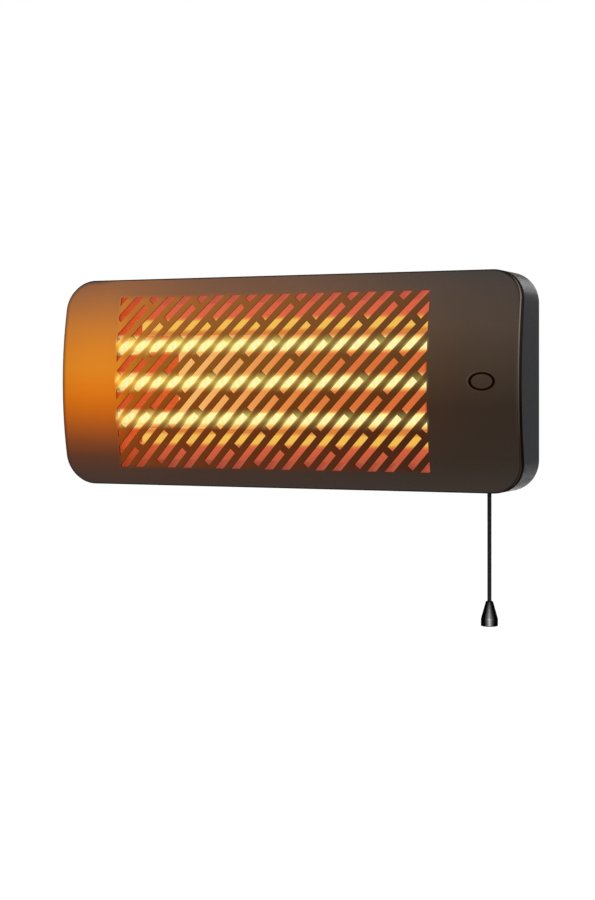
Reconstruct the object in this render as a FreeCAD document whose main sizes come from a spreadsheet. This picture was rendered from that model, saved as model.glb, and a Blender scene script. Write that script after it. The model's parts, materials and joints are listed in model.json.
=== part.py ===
import FreeCAD, Part
import Sketcher
import math
import os
import re

# Quartz tube heater for a wall: bowed slotted front, three quartz tubes, pull-cord switch.
# Frame: origin at the middle of the back face, +X to the right, +Y into the wall, +Z up.
# Millimetres throughout. Each sub-part is written to parts/NAME.step.

Vector = FreeCAD.Vector
Rotation = FreeCAD.Rotation

# Driving dimensions

SIZES = {
    # casing
    "body_width": 524.0,
    "body_height": 225.0,
    "body_corner": 32.0,
    "front_bulge": 17.0,
    "back_round": 3.0,
    "housing_wall": 2.4,
    "cover_sheet": 1.2,
    "cover_skirt": 10.0,
    "cover_round": 3.0,
    "seam_gap": 1.5,
    "gasket_inset": 0.8,
    "gasket_width": 1.5,
    # slotted window of the front cover
    "grille_margin_left": 69.5,
    "grille_margin_right": 96.0,
    "grille_margin_end": 20.0,
    "slot_angle": 46.4,
    "slot_width": 7.2,
    "slot_length": 72.1,
    "slot_bridge": 7.4,
    "slot_pitch": 14.07,
    "slot_origin_x": 42.6,
    "slot_origin_z": 8.65,
    "smallest_slot": 12.0,
    # oval badge
    "badge_inset": 38.0,
    "badge_width": 27.0,
    "badge_height": 18.5,
    "badge_groove": 2.0,
    "badge_sink": 0.3,
    "badge_lip": 2.5,
    "badge_lip_thickness": 1.0,
    # clearances
    "running_gap": 0.06,
    "thread_gap": 0.05,
    "fit_gap": 0.1,
    "through_gap": 0.2,
    "rest_gap": 0.3,
    # case screws and their posts
    "post_inset": 22.0,
    "post_radius": 6.0,
    "case_screw_radius": 2.0,
    "case_head_radius": 4.0,
    "case_head_height": 2.6,
    "counterbore_depth": 4.0,
    "weld_nut_radius": 5.0,
    "weld_nut_thread": 5.5,
    # small screws and the bosses that take them
    "small_screw_radius": 1.5,
    "small_head_radius": 2.75,
    "small_head_height": 2.0,
    "small_thread_length": 4.0,
    "boss_radius": 4.5,
    "recess_width": 0.9,
    "recess_depth": 1.0,
    # reflector tray
    "rim_drop": 2.5,
    "mouth_margin": 2.0,
    "reflector_sheet": 0.9,
    "floor_depth": 20.0,
    "floor_height": 104.0,
    "end_wall_run": 83.0,
    "flange_gap": 14.0,
    "flange_corner": 14.0,
    "mouth_border_side": 20.0,
    "mouth_border_end": 14.5,
    # quartz tubes, coils and end caps
    "tube_radius": 6.5,
    "tube_wall": 1.1,
    "tube_end_space": 40.0,
    "tube_pitch": 39.5,
    "tube_depth": 44.0,
    "coil_radius": 4.6,
    "coil_wire": 0.45,
    "coil_turns": 31.0,
    "coil_end_space": 12.0,
    "cap_radius": 9.0,
    "cap_grip": 8.0,
    "cap_shoulder": 12.0,
    "cap_neck_radius": 6.4,
    "cap_neck": 14.0,
    "tube_hole_gap": 1.0,
    "tab_length": 9.0,
    "tab_width": 6.3,
    "tab_thickness": 0.8,
    "bar_width": 6.0,
    # tube brackets
    "bracket_sheet": 1.5,
    "bracket_seat": 6.0,
    "bracket_margin": 3.5,
    "bracket_foot": 17.0,
    "bracket_screw_reach": 10.0,
    "bracket_screw_rise": 30.0,
    # pull switch
    "cord_inset": 47.5,
    "cord_depth": 20.0,
    "cord_radius": 2.15,
    "knot_radius": 4.0,
    "lever_arm": 17.0,
    "lever_rise": 32.5,
    "lever_tilt": 15.0,
    "lever_thickness": 3.0,
    "lever_width": 11.0,
    "lever_overhang": 5.0,
    "fork_slot": 5.6,
    "hub_radius": 6.0,
    "shaft_radius": 2.0,
    "shaft_seat": 1.0,
    "case_left": 13.5,
    "case_right": 30.5,
    "case_up": 18.0,
    "case_down": 20.0,
    "case_wall": 2.0,
    "case_depth": 24.0,
    "case_seat": 3.6,
    "case_screw_inset": 6.0,
    "rotor_radius": 10.5,
    "rotor_tooth": 1.8,
    "rotor_steps": 12.0,
    "drive_peg_radius": 1.2,
    "drive_peg_arm": 4.2,
    "drive_peg_length": 2.0,
    "spring_radius": 3.6,
    "spring_wire": 0.45,
    "spring_turns": 6.0,
    "switch_tab_reach": 8.0,
    "switch_tab_width": 4.8,
    "switch_tab_first": 14.0,
    "switch_tab_step": 7.0,
    # cord guide, cord and bell
    "bush_collar_radius": 6.2,
    "bush_collar": 1.5,
    "bush_neck_radius": 4.5,
    "bush_lip_radius": 5.6,
    "bush_lip": 2.5,
    "swing_drop": 1.0,
    "cord_hang": 109.8,
    "bell_height": 25.5,
    "bell_skirt": 7.4,
    "bell_radius": 8.7,
    "bell_top_radius": 3.6,
    "bell_cavity_radius": 5.6,
    "bell_cavity": 13.5,
    "bell_shoulder_round": 8.0,
    "bell_top_round": 1.0,
    "bell_edge_round": 0.8,
    "end_knot_radius": 3.8,
    # mains inlet
    "inlet_x": 130.0,
    "inlet_rise": 22.5,
    "inlet_recess": 3.0,
    "inlet_floor": 2.4,
    "grommet_radius": 10.0,
    "grommet_neck_radius": 7.0,
    "grommet_bore_radius": 4.0,
    "grommet_flange": 2.4,
    "grommet_margin": 3.0,
    # cable clamp
    "clamp_x": 104.0,
    "clamp_span": 20.0,
    "clamp_height": 7.0,
    "clamp_width": 9.0,
    "clamp_thickness": 3.0,
    # terminal block
    "block_x": 66.0,
    "block_length": 40.0,
    "block_height": 14.0,
    "block_thickness": 14.0,
    "block_pole_pitch": 12.0,
    "block_entry_radius": 1.6,
    "block_screw_spread": 7.0,
    "block_screw_radius": 2.1,
    "pad_thickness": 3.0,
    "pad_margin": 2.0,
    # thermal cut-out and earth stud
    "cutout_x": -60.0,
    "cutout_radius": 8.0,
    "cutout_height": 7.0,
    "cutout_plate_length": 34.0,
    "cutout_plate_width": 12.0,
    "cutout_plate": 0.8,
    "cutout_tab_length": 7.0,
    "rivet_radius": 1.5,
    "rivet_head_radius": 2.6,
    "rivet_head": 1.0,
    "earth_x": 24.0,
    "earth_stud_radius": 2.0,
    "earth_stud_length": 9.0,
    "earth_nut_width": 7.0,
    "earth_nut_height": 3.2,
    "earth_tag_radius": 4.6,
    "earth_tag_reach": 12.0,
    # insulated leads
    "lead_radius": 1.2,
    "lead_bend": 6.0,
    "lead_entry": 4.0,
    "lead_back_gap": 3.0,
    "lead_side_gap": 9.5,
    "lead_step": 6.0,
    # wall keyholes and vents
    "keyhole_x": 150.0,
    "keyhole_z": 62.0,
    "keyhole_entry_radius": 4.5,
    "keyhole_slot_radius": 2.5,
    "keyhole_slot": 9.0,
    "vent_count": 12.0,
    "vent_pitch": 13.0,
    "vent_width": 4.0,
    "vent_length": 26.0,
    "vent_depth": 22.0,
}

# Sizes and places that follow from the driving dimensions

LAYOUT = {
    "half_width": "body_width / 2",
    "half_height": "body_height / 2",
    "edge_depth": "tube_depth + cap_radius + tube_hole_gap + mouth_margin + rim_drop",
    "total_depth": "edge_depth + front_bulge",
    "arc_radius": "(half_height * half_height + front_bulge * front_bulge) / (2 * front_bulge)",
    "arc_axis": "arc_radius - total_depth",
    "inner_arc": "arc_radius - cover_sheet",
    "skirt_arc": "arc_radius - cover_skirt",
    "rim_arc": "skirt_arc - seam_gap",
    "badge_x": "half_width - badge_inset",
    "post_x": "half_width - post_inset",
    "post_z": "half_height - post_inset",
    "flange_x": "half_width - flange_gap",
    "flange_z": "half_height - flange_gap",
    "mouth_x": "flange_x - mouth_border_side",
    "mouth_z": "flange_z - mouth_border_end",
    "flange_front": "edge_depth - rim_drop",
    "flange_back": "flange_front - reflector_sheet",
    "floor_back": "floor_depth - reflector_sheet",
    "tube_half": "half_width - tube_end_space",
    "cap_inner": "tube_half - cap_grip",
    "bracket_x": "cap_inner + cap_shoulder",
    "cap_outer": "bracket_x + cap_neck",
    "bracket_base": "housing_wall + bracket_seat",
    "bracket_front": "tube_depth + cap_radius",
    "bracket_half_height": "tube_pitch + cap_radius + bracket_margin",
    "bracket_screw_x": "bracket_x + bracket_screw_reach",
    "cord_x": "half_width - cord_inset",
    "pivot_x": "cord_x - lever_arm",
    "pivot_z": "lever_rise - half_height",
    "pull_travel": "2 * lever_arm * tan(lever_tilt)",
    "lever_reach": "lever_arm + lever_overhang",
    "lever_back": "cord_depth - lever_width / 2",
    "lever_front": "cord_depth + lever_width / 2",
    "case_back": "housing_wall + case_seat",
    "case_front": "case_back + case_depth",
    "case_x_low": "pivot_x - case_left",
    "case_x_high": "pivot_x + case_right",
    "case_z_low": "pivot_z - case_down",
    "case_z_high": "pivot_z + case_up",
    "case_floor": "case_z_low + case_wall",
    "rotor_back": "case_back + case_wall + 2 * rest_gap",
    "rotor_front": "lever_back - rest_gap",
    "switch_tab_y": "case_back + case_wall + switch_tab_width / 2 + 2 * rest_gap + small_head_height",
    "spring_top": "pivot_z + (lever_arm - spring_radius - spring_wire) * tan(lever_tilt)"
                  " - lever_thickness / (2 * cos(lever_tilt)) - rest_gap",
    "knot_z": "pivot_z + lever_arm * tan(lever_tilt)"
              " + (lever_thickness / 2 + knot_radius + rest_gap) / cos(lever_tilt)",
    "bush_bore": "cord_radius + rest_gap",
    "collar_bottom": "-half_height - bush_collar",
    "swing_z": "collar_bottom - swing_drop",
    "bell_top": "swing_z - cord_hang",
    "bell_bottom": "bell_top - bell_height",
    "bell_hole": "cord_radius + through_gap",
    "bell_roof": "bell_bottom + bell_cavity",
    "end_knot_z": "bell_roof - rest_gap - end_knot_radius",
    "inlet_z": "inlet_rise - half_height",
    "inlet_inner": "inlet_recess + inlet_floor",
    "pad_front": "housing_wall + pad_thickness",
    "block_front": "pad_front + block_thickness",
    "block_wire_y": "pad_front + block_thickness / 2",
    "block_top": "inlet_z + block_height / 2",
    "clamp_seat": "housing_wall + clamp_height",
    "cutout_seat": "floor_back - cutout_plate",
    "cutout_tab_y": "cutout_seat - cutout_height / 2",
    "rivet_reach": "cutout_plate_length / 2 - rivet_head_radius - rest_gap",
}

AXES = {
    "+X": Rotation(Vector(0, 1, 0), 90),
    "+Y": Rotation(Vector(1, 0, 0), -90),
    "-Y": Rotation(Vector(1, 0, 0), 90),
    "+Z": Rotation(),
}

SIDES = {"left": -1, "right": 1}
LEVELS = {"top": 1, "middle": 0, "bottom": -1}

doc = FreeCAD.newDocument("quartz_tube_heater")
nodes = []


# Helpers for the sheet and the bound sizes

def make_sheet():
    sheet = doc.addObject("Spreadsheet::Sheet", "Sizes")
    for row, (name, number) in enumerate(SIZES.items(), start=1):
        sheet.set(f"A{row}", name)
        sheet.set(f"B{row}", str(number))
        sheet.setAlias(f"B{row}", name)
    doc.recompute()
    return sheet


def cells(text):
    """Turn the plain size names in a formula into references to their cells."""
    def reference(match):
        name = match.group()
        if name in SIZES:
            return "Sizes." + name
        return "Layout." + name if name in LAYOUT else name
    return re.sub(r"[a-z_]+[a-z_0-9]*", reference, str(text))


def make_layout():
    layout = doc.addObject("App::VarSet", "Layout")
    for name in LAYOUT:
        layout.addProperty("App::PropertyFloat", name)
    for name, text in LAYOUT.items():
        layout.setExpression(name, cells(text))
    doc.recompute()
    return layout


make_sheet()
layout_values = make_layout()


def value(text):
    """The number that a formula of size names comes to."""
    return float(layout_values.evalExpression(cells(text)))


def bind(thing, bindings):
    for name, text in bindings.items():
        thing.setExpression(name, cells(text))
    return thing


def at(thing, x, y, z, axis="+Z"):
    thing.Placement = FreeCAD.Placement(Vector(), AXES[axis])
    return bind(thing, {"Placement.Base.x": x, "Placement.Base.y": y, "Placement.Base.z": z})


def node(thing):
    thing.Label = thing.Name
    nodes.append(thing)
    return thing


# Helpers for solids

def box(name, x, y, z):
    """A box between pairs of low and high limits."""
    block = doc.addObject("Part::Box", name)
    bind(block, {
        "Length": f"({x[1]}) - ({x[0]})",
        "Width": f"({y[1]}) - ({y[0]})",
        "Height": f"({z[1]}) - ({z[0]})",
    })
    return at(block, x[0], y[0], z[0])


def side_limits(sign, near, far):
    """Limits in X of a piece between two distances from the middle, on one side."""
    return (near, far) if sign > 0 else (f"-({far})", f"-({near})")


def cylinder(name, radius, length, x, y, z, axis="+Z"):
    rod = doc.addObject("Part::Cylinder", name)
    bind(rod, {"Radius": radius, "Height": length})
    return at(rod, x, y, z, axis)


def sphere(name, radius, x, y, z):
    ball = doc.addObject("Part::Sphere", name)
    bind(ball, {"Radius": radius})
    return at(ball, x, y, z)


def fuse(name, things):
    joined = doc.addObject("Part::MultiFuse", name)
    joined.Shapes = things
    return joined


def cut(name, base, tools):
    tool = tools[0] if len(tools) == 1 else fuse(name + "_tools", tools)
    result = doc.addObject("Part::Cut", name)
    result.Base = base
    result.Tool = tool
    return result


def common(name, base, tool):
    result = doc.addObject("Part::Common", name)
    result.Base = base
    result.Tool = tool
    return result


def group(name, things):
    bunch = doc.addObject("Part::Compound", name)
    bunch.Links = things
    return bunch


def feature(name, shape):
    thing = doc.addObject("Part::Feature", name)
    thing.Shape = shape
    thing.Placement = FreeCAD.Placement()
    return thing


def bow(name, radius):
    """The round bar, along X, whose side is the bowed front at a given radius."""
    return cylinder(name, radius, "body_width * 2", "-body_width", "arc_axis", "0", "+X")


# Helpers for sketched bodies

def outline_sketch(body, plane, corners):
    """A closed outline through corners, each held by two bound distances."""
    sketch = body.newObject("Sketcher::SketchObject", body.Name + "_outline")
    support = next(item for item in body.Origin.OriginFeatures if item.Role == plane)
    sketch.AttachmentSupport = [(support, "")]
    sketch.MapMode = "FlatFace"
    points = [Vector(value(across), value(up), 0) for across, up in corners]
    count = len(points)
    for index, point in enumerate(points):
        sketch.addGeometry(Part.LineSegment(point, points[(index + 1) % count]))
    for index in range(count):
        sketch.addConstraint(Sketcher.Constraint("Coincident", index, 2, (index + 1) % count, 1))
    for index, (across, up) in enumerate(corners):
        for kind, start, text in (("DistanceX", points[index].x, across), ("DistanceY", points[index].y, up)):
            number = sketch.addConstraint(Sketcher.Constraint(kind, index, 1, start))
            sketch.setExpression(f"Constraints[{number}]", cells(text))
    return sketch


def padded_body(name, plane, corners, length):
    body = doc.addObject("PartDesign::Body", name)
    pad = body.newObject("PartDesign::Pad", name + "_pad")
    pad.Profile = outline_sketch(body, plane, corners)
    bind(pad, {"Length": length})
    doc.recompute()
    return body


def turned_body(name, corners, x, y, z, axis="+Z"):
    """A body turned about its own Z axis from corners given as radius and height."""
    body = doc.addObject("PartDesign::Body", name)
    sketch = outline_sketch(body, "XZ_Plane", corners)
    turn = body.newObject("PartDesign::Revolution", name + "_turn")
    turn.Profile = sketch
    turn.ReferenceAxis = (sketch, ["V_Axis"])
    turn.Angle = 360
    doc.recompute()
    return at(body, x, y, z, axis)


def round_edges(body, label, radius, chosen):
    """Round those edges of a body's last feature that a test picks out."""
    base = body.Tip
    names = [f"Edge{number}" for number, edge in enumerate(base.Shape.Edges, start=1) if chosen(edge)]
    rounding = body.newObject("PartDesign::Fillet", f"{body.Name}_{label}")
    rounding.Base = (base, names)
    bind(rounding, {"Radius": radius})
    doc.recompute()


def runs_along_depth(edge):
    box_of_edge = edge.BoundBox
    return box_of_edge.YLength > max(box_of_edge.XLength, box_of_edge.ZLength)


def circle_at(radius, height):
    """A test for the full circle of a turned body with this radius and height."""
    wanted_radius = value(radius)
    wanted_height = value(height)

    def chosen(edge):
        curve = edge.Curve
        if not isinstance(curve, Part.Circle):
            return False
        return abs(curve.Radius - wanted_radius) < 1e-4 and abs(curve.Center.z - wanted_height) < 1e-4
    return chosen


def rounded_block(name, inset, corner, near, far):
    """A block of the casing's outline, inset all round, between two depths from the wall."""
    across = f"(half_width - ({inset}))"
    up = f"(half_height - ({inset}))"
    corners = [(f"-{across}", f"-{up}"), (across, f"-{up}"), (across, up), (f"-{across}", up)]
    body = padded_body(name, "XZ_Plane", corners, f"({far}) - ({near})")
    round_edges(body, "corners", corner, runs_along_depth)
    return at(body, "0", f"-({near})", "0")


def front_rounded(name, base, radius):
    """Round the edge all round the bowed front face of a solid."""
    doc.recompute()
    front = max(base.Shape.Faces, key=lambda face: -face.CenterOfMass.y)
    front_edges = {edge.hashCode() for edge in front.Edges}
    rounding = doc.addObject("Part::Fillet", name)
    rounding.Base = base
    size = value(radius)
    rounding.Edges = [(number, size, size) for number, edge in enumerate(base.Shape.Edges, start=1)
                      if edge.hashCode() in front_edges]
    return rounding


# Helpers for bent wire

def arc_between(start, direction, end):
    """The arc that leaves start along a direction and reaches end."""
    chord = end - start
    along = Vector(chord).normalize()
    sideways = direction - along * direction.dot(along)
    if sideways.Length < 1e-9:
        return Part.LineSegment(start, end).toShape()
    half_turn = math.atan2(sideways.Length, direction.dot(along)) / 2
    rise = chord.Length / 2 * math.tan(half_turn)
    middle = start + chord * 0.5 + Vector(sideways).normalize() * rise
    return Part.Arc(start, middle, end).toShape()


def biarc(start, start_way, end, end_way):
    """Two smooth arcs from one point and direction to another."""
    chord = end - start
    ways = start_way + end_way
    bend = 2 * (1 - start_way.dot(end_way))
    reach = chord.dot(ways)
    handle = (-reach + math.sqrt(reach ** 2 + bend * chord.dot(chord))) / bend
    joint = (start + start_way * handle + end - end_way * handle) * 0.5
    last = arc_between(end, end_way * -1, joint)
    return [arc_between(start, start_way, joint), last]


def wire_tube(edges, radius):
    path = Part.Wire(Part.__sortEdges__(edges))
    first = path.OrderedEdges[0]
    start = path.OrderedVertexes[0].Point
    way = first.tangentAt(first.FirstParameter)
    ring = Part.Wire([Part.makeCircle(radius, start, way)])
    return path.makePipeShell([ring], True, False)


def helix_frame(turn, turns, radius, low, high):
    """Point and direction at a number of turns along a helix about the local Z axis."""
    angle = 2 * math.pi * turn
    climb = (high - low) / (2 * math.pi * turns)
    point = Vector(radius * math.cos(angle), radius * math.sin(angle), low + climb * angle)
    way = Vector(-radius * math.sin(angle), radius * math.cos(angle), climb)
    return point, way.normalize()


def helix_tube(label, turns, radius, wire_radius, low, high):
    """A wound wire with short straight ends, made of arcs two to each quarter turn."""
    quarters = 4
    steps = int(round(turns * quarters))
    frames = [helix_frame(step / quarters, turns, radius, low, high) for step in range(steps + 1)]
    first, first_way = frames[0]
    last, last_way = frames[-1]
    edges = [Part.LineSegment(first - first_way * 2 * wire_radius, first).toShape()]
    for (start, start_way), (end, end_way) in zip(frames, frames[1:]):
        edges += biarc(start, start_way, end, end_way)
    edges.append(Part.LineSegment(last, last + last_way * 2 * wire_radius).toShape())
    print(f"{label}: least gap to itself {least_self_gap(turns, radius, wire_radius, low, high):.2f} mm")
    return wire_tube(edges, wire_radius)


def least_self_gap(turns, radius, wire_radius, low, high):
    """Least clear distance between turns, measured on points of the winding's middle line."""
    per_turn = 24
    count = int(turns * per_turn)
    points = [helix_frame(step / per_turn, turns, radius, low, high)[0] for step in range(count + 1)]
    least = math.inf
    for index, point in enumerate(points):
        for other in points[index + per_turn // 2:index + 2 * per_turn]:
            least = min(least, point.distanceToPoint(other))
    return least - 2 * wire_radius


def lead(points):
    """An insulated lead through points, with a bend at each inner one."""
    radius = value("lead_radius")
    edges = []
    start = points[0]
    for before, corner, after in zip(points, points[1:], points[2:]):
        way_in = (corner - before).normalize()
        way_out = (after - corner).normalize()
        half_turn = math.acos(max(-1, min(1, way_in.dot(way_out)))) / 2
        room = 0.45 * min((corner - before).Length, (after - corner).Length)
        reach = min(value("lead_bend") * math.tan(half_turn), room)
        bend_start = corner - way_in * reach
        bend_end = corner + way_out * reach
        edges.append(Part.LineSegment(start, bend_start).toShape())
        edges.append(arc_between(bend_start, way_in, bend_end))
        start = bend_end
    edges.append(Part.LineSegment(start, points[-1]).toShape())
    tube = wire_tube(edges, radius)
    expected = math.pi * radius ** 2 * sum(edge.Length for edge in edges)
    if abs(tube.Volume - expected) > 0.01 * expected:
        raise ValueError(f"a lead has volume {tube.Volume:.1f} where {expected:.1f} was expected")
    return tube


# Helpers for fasteners

def screw(name, size, length, x, seat, z, axis):
    """A cross-head screw whose head sits on a depth, with its thread along the axis."""
    away = {"+Y": "-Y", "-Y": "+Y"}[axis]
    sign = {"+Y": "-1", "-Y": "1"}[axis]
    radius, head_radius, head_height = size
    shank = cylinder(name + "_shank", radius, length, x, seat, z, axis)
    head = cylinder(name + "_head", head_radius, head_height, x, seat, z, away)
    top = f"({seat}) + {sign} * ({head_height})"
    floor = f"({seat}) + {sign} * (({head_height}) - recess_depth)"
    depth = (floor, top) if sign == "1" else (top, floor)
    arm = f"({head_radius}) * 0.6"
    half = "recess_width / 2"
    wide = box(name + "_slot_wide", (f"({x}) - {arm}", f"({x}) + {arm}"), depth,
               (f"({z}) - {half}", f"({z}) + {half}"))
    tall = box(name + "_slot_tall", (f"({x}) - {half}", f"({x}) + {half}"), depth,
               (f"({z}) - {arm}", f"({z}) + {arm}"))
    return cut(name, fuse(name + "_blank", [shank, head]), [wide, tall])


CASE_SCREW = ("case_screw_radius", "case_head_radius", "case_head_height")
SMALL_SCREW = ("small_screw_radius", "small_head_radius", "small_head_height")

POSTS = [(f"{x} * post_x", f"{z} * post_z") for x in (-1, 1) for z in (-1, 1)]
BRACKET_SCREWS = [(f"{x} * bracket_screw_x", f"{z} * bracket_screw_rise") for x in (-1, 1) for z in (-1, 1)]
SWITCH_SCREWS = [
    ("case_x_low + case_screw_inset", "case_z_low + case_screw_inset"),
    ("case_x_high - case_screw_inset", "case_z_high - case_screw_inset"),
]
CLAMP_SCREWS = [("clamp_x", f"inlet_z + {side} * clamp_span / 2") for side in (-1, 1)]
BLOCK_SCREWS = [(f"block_x + {side} * block_pole_pitch / 2", "inlet_z") for side in (-1, 1)]
TAPPED = "small_screw_radius + thread_gap"
THROUGH = "small_screw_radius + through_gap"


# Front cover

def slot_cutters():
    """The slanted slots, staggered like bricks, kept to the slotted window."""
    width = value("slot_width")
    length = value("slot_length")
    period = length + value("slot_bridge")
    pitch = value("slot_pitch")
    depth = value("total_depth")
    turn = math.radians(value("slot_angle"))
    along = Vector(math.cos(turn), 0, math.sin(turn))
    across = Vector(math.sin(turn), 0, -math.cos(turn))
    origin = Vector(value("slot_origin_x"), 0, value("slot_origin_z"))
    low = Vector(value("grille_margin_left - half_width"), -2 * depth, value("grille_margin_end - half_height"))
    wide = value("body_width - grille_margin_left - grille_margin_right")
    high = value("body_height - 2 * grille_margin_end")
    window = Part.makeBox(wide, 2 * depth, high, low)
    reach = int((wide + high) / pitch) + 1
    pieces = []
    for line in range(-reach, reach + 1):
        for row in range(-reach, reach + 1):
            start = origin + across * (pitch * line) + along * (period * (row + 0.5 * (line % 2)))
            slot = Part.makeBox(length, 2 * depth, width, Vector(0, -2 * depth, -width / 2))
            slot.Placement = FreeCAD.Placement(start, Rotation(Vector(0, -1, 0), value("slot_angle")))
            if slot.BoundBox.intersect(window.BoundBox):
                pieces += slot.common(window).Solids
    smallest = value("smallest_slot") * 2 * depth
    return feature("slot_cutters", Part.makeCompound([piece for piece in pieces if piece.Volume > smallest]))


def oval(name, narrower, near, far):
    """An upright oval bar at the badge's place, narrower all round than its opening."""
    ring = doc.addObject("Part::Ellipse", name + "_ring")
    bind(ring, {
        "MajorRadius": f"badge_width / 2 - ({narrower})",
        "MinorRadius": f"badge_height / 2 - ({narrower})",
    })
    at(ring, "badge_x", f"-({near})", "0", "-Y")
    bar = doc.addObject("Part::Extrusion", name)
    bar.Base = ring
    bar.DirMode = "Custom"
    bar.Dir = Vector(0, -1, 0)
    bar.Solid = True
    bind(bar, {"LengthFwd": f"({far}) - ({near})"})
    return bar


def make_front_cover():
    outside = common("cover_outside", rounded_block("cover_block", "0", "body_corner", "0", "2 * total_depth"),
                     bow("cover_bow", "arc_radius"))
    inside_block = rounded_block("cover_inside_block", "cover_sheet", "body_corner - cover_sheet",
                                 "0", "2 * total_depth")
    inside = common("cover_inside", inside_block, bow("cover_inside_bow", "inner_arc"))
    shell = cut("cover_shell", front_rounded("cover_rounded", outside, "cover_round"),
                [front_rounded("cover_inside_rounded", inside, "cover_round - cover_sheet")])
    tray = cut("cover_tray", shell, [bow("cover_skirt_bow", "skirt_arc")])
    opening = oval("badge_opening", "0", "edge_depth", "2 * total_depth")
    holed = cut("cover_holed", tray, [slot_cutters()])
    node(cut("front_cover", holed, [opening]))


def make_badge():
    face = common("badge_face", oval("badge_face_bar", "badge_groove", "edge_depth", "2 * total_depth"),
                  bow("badge_face_bow", "arc_radius - badge_sink"))
    lip = common("badge_lip_part", oval("badge_lip_bar", "-badge_lip", "edge_depth", "2 * total_depth"),
                 bow("badge_lip_bow", "inner_arc"))
    blank = fuse("badge_blank", [face, lip])
    node(cut("oval_badge", blank, [bow("badge_back_bow", "inner_arc - badge_lip_thickness")]))


def make_weld_nuts():
    reach = "total_depth"
    nuts = []
    for number, (x, z) in enumerate(POSTS, start=1):
        name = f"weld_nut_{number}"
        bar = cylinder(name + "_bar", "weld_nut_radius", reach, x, "-flange_front", z, "-Y")
        stub = common(name + "_stub", bar, bow(name + "_bow", "inner_arc"))
        thread = cylinder(name + "_thread", "case_screw_radius + thread_gap", "weld_nut_thread",
                          x, "-flange_front", z, "-Y")
        nuts.append(cut(name, stub, [thread]))
    node(group("cover_weld_nuts", nuts))


def make_gasket():
    outer = rounded_block("gasket_block", "gasket_inset", "body_corner - gasket_inset", "0", "total_depth")
    inset = "gasket_inset + gasket_width"
    inner = rounded_block("gasket_hollow", inset, f"body_corner - {inset}", "0", "total_depth")
    ring = cut("gasket_ring", outer, [inner])
    slab = common("gasket_slab", ring, bow("gasket_front_bow", "skirt_arc"))
    node(cut("seam_gasket", slab, [bow("gasket_back_bow", "rim_arc")]))


# Rear housing

def boss(name, x, z, front, radius="boss_radius"):
    """A round boss from inside the back wall to a depth."""
    base = "housing_wall / 2"
    return cylinder(name, radius, f"({front}) - {base}", x, f"-{base}", z, "-Y")


def blind_hole(name, x, z, front):
    """The tapped hole in a boss, open at its top."""
    return cylinder(name, TAPPED, "small_thread_length + rest_gap", x, f"-({front})", z, "+Y")


def housing_bosses():
    solids = [boss(f"post_{number}", x, z, "flange_back", "post_radius")
              for number, (x, z) in enumerate(POSTS, start=1)]
    holes = []
    seats = [("bracket_boss", BRACKET_SCREWS, "bracket_base"), ("switch_boss", SWITCH_SCREWS, "case_back"),
             ("clamp_boss", CLAMP_SCREWS, "clamp_seat")]
    for label, places, front in seats:
        for number, (x, z) in enumerate(places, start=1):
            solids.append(boss(f"{label}_{number}", x, z, front))
            holes.append(blind_hole(f"{label}_hole_{number}", x, z, front))
    for number, (x, z) in enumerate(POSTS, start=1):
        holes.append(cylinder(f"post_bore_{number}", "case_screw_radius + through_gap", "total_depth",
                              x, "0", z, "-Y"))
        holes.append(cylinder(f"post_counterbore_{number}", "case_head_radius + through_gap",
                              "counterbore_depth", x, "0", z, "-Y"))
    return solids, holes


def housing_block_pad():
    half = "(block_length / 2 + pad_margin)"
    tall = "(block_height / 2 + pad_margin)"
    pad = box("block_pad", (f"block_x - {half}", f"block_x + {half}"), ("-pad_front", "-housing_wall / 2"),
              (f"inlet_z - {tall}", f"inlet_z + {tall}"))
    holes = [blind_hole(f"block_pad_hole_{number}", x, z, "pad_front")
             for number, (x, z) in enumerate(BLOCK_SCREWS, start=1)]
    return pad, holes


def housing_inlet():
    rim = "grommet_radius + fit_gap"
    ring = boss("inlet_ring", "inlet_x", "inlet_z", "inlet_inner", f"{rim} + grommet_margin")
    recess = cylinder("inlet_recess_hole", rim, "inlet_recess", "inlet_x", "0", "inlet_z", "-Y")
    bore = cylinder("inlet_bore", "grommet_neck_radius + fit_gap", "inlet_inner", "inlet_x", "0", "inlet_z", "-Y")
    return ring, [recess, bore]


def housing_keyholes():
    holes = []
    for side, sign in SIDES.items():
        x = f"{sign} * keyhole_x"
        top = "keyhole_z + keyhole_slot"
        holes.append(cylinder(f"keyhole_entry_{side}", "keyhole_entry_radius", "2 * housing_wall",
                              x, "0", "keyhole_z", "-Y"))
        holes.append(cylinder(f"keyhole_top_{side}", "keyhole_slot_radius", "2 * housing_wall", x, "0", top, "-Y"))
        holes.append(box(f"keyhole_slot_{side}", (f"{x} - keyhole_slot_radius", f"{x} + keyhole_slot_radius"),
                         ("-2 * housing_wall", "0"), ("keyhole_z", top)))
    return holes


def housing_vents():
    slots = []
    count = int(value("vent_count"))
    for number in range(count):
        x = f"vent_pitch * ({number} - (vent_count - 1) / 2)"
        slots.append(box(f"vent_{number + 1}", (f"{x} - vent_width / 2", f"{x} + vent_width / 2"),
                         ("-vent_depth - vent_length / 2", "-vent_depth + vent_length / 2"),
                         ("-half_height - housing_wall", "-half_height + 2 * housing_wall")))
    return slots


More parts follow.
